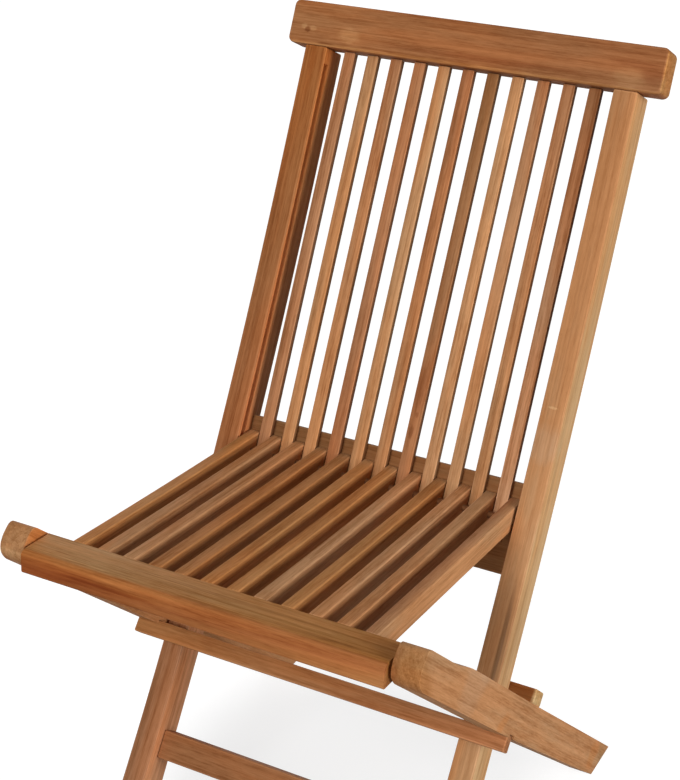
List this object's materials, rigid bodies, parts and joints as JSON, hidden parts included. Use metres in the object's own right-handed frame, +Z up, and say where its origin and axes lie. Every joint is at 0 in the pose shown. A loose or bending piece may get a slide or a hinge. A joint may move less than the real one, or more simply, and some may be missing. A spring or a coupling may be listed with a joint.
{
  "type": "folding chair",
  "caption": "Folding slatted garden chair without arms: bent back posts with upright slats, crossed rear legs and a slatted seat that folds up against the back.",
  "frame": {"origin": "on the floor, under the middle of the open chair's box", "axes": "+Z up, +X to the sitter's left, -Y in front of the chair"},
  "size_m": [0.467, 0.6288, 0.8915],
  "materials": {
    "teak": "oiled, satin",
    "brass": "satin",
    "steel": "satin"
  },
  "bodies": {
    "BackFrame": {"PostLeft": "teak", "PostRight": "teak", "TopRail": "teak", "LowerBackRail": "teak", "Stretcher": "teak", "BackSlat01": "teak", "BackSlat02": "teak", "BackSlat03": "teak", "BackSlat04": "teak", "BackSlat05": "teak", "BackSlat06": "teak", "BackSlat07": "teak", "BackSlat08": "teak", "BackSlat09": "teak", "BackSlat10": "teak", "BackSlat11": "teak", "SlatScrew01": "brass", "SlatScrew02": "brass", "SlatScrew03": "brass", "SlatScrew04": "brass", "SlatScrew05": "brass", "SlatScrew06": "brass", "SlatScrew07": "brass", "SlatScrew08": "brass", "SlatScrew09": "brass", "SlatScrew10": "brass", "SlatScrew11": "brass"},
    "LegFrame": {"LegLeft": "teak", "LegRight": "teak", "FrontCrossRail": "teak", "RearCrossRail": "teak", "PivotBoltLeft": "steel", "PivotBoltRight": "steel", "PivotInsertLeft": "brass", "PivotInsertRight": "brass", "PivotWasherLeft": "brass", "PivotWasherRight": "brass", "FrontRailScrewLeft": "brass", "FrontRailScrewRight": "brass", "RearRailScrewLeft": "brass", "RearRailScrewRight": "brass"},
    "Seat": {"SeatFrontRail": "teak", "SeatSlat01": "teak", "SeatSlat02": "teak", "SeatSlat03": "teak", "SeatSlat04": "teak", "SeatSlat05": "teak", "SeatSlat06": "teak", "SeatSlat07": "teak", "SeatSlat08": "teak", "SeatSlat09": "teak", "SeatSlat10": "teak", "SeatSlat11": "teak", "SeatSlat12": "teak", "SeatRod": "steel", "SeatPinLeft": "steel", "SeatPinRight": "steel", "SeatWasherLeft": "brass", "SeatWasherRight": "brass"}
  },
  "joints": [
    {"name": "leg_fold", "type": "hinge", "parent": "BackFrame", "child": "LegFrame", "pos_m": [0, -0.04801, 0.24305], "axis": [-1, 0, 0], "range_deg": [0, 72]},
    {"name": "seat_fold", "type": "hinge", "parent": "LegFrame", "child": "Seat", "pos_m": [0, -0.28241, 0.45505], "axis": [1, 0, 0], "range_deg": [0, 136]}
  ],
  "couplings": [
    {"joint": "seat_fold", "follows": "leg_fold", "ratio": 1.8866}
  ]
}
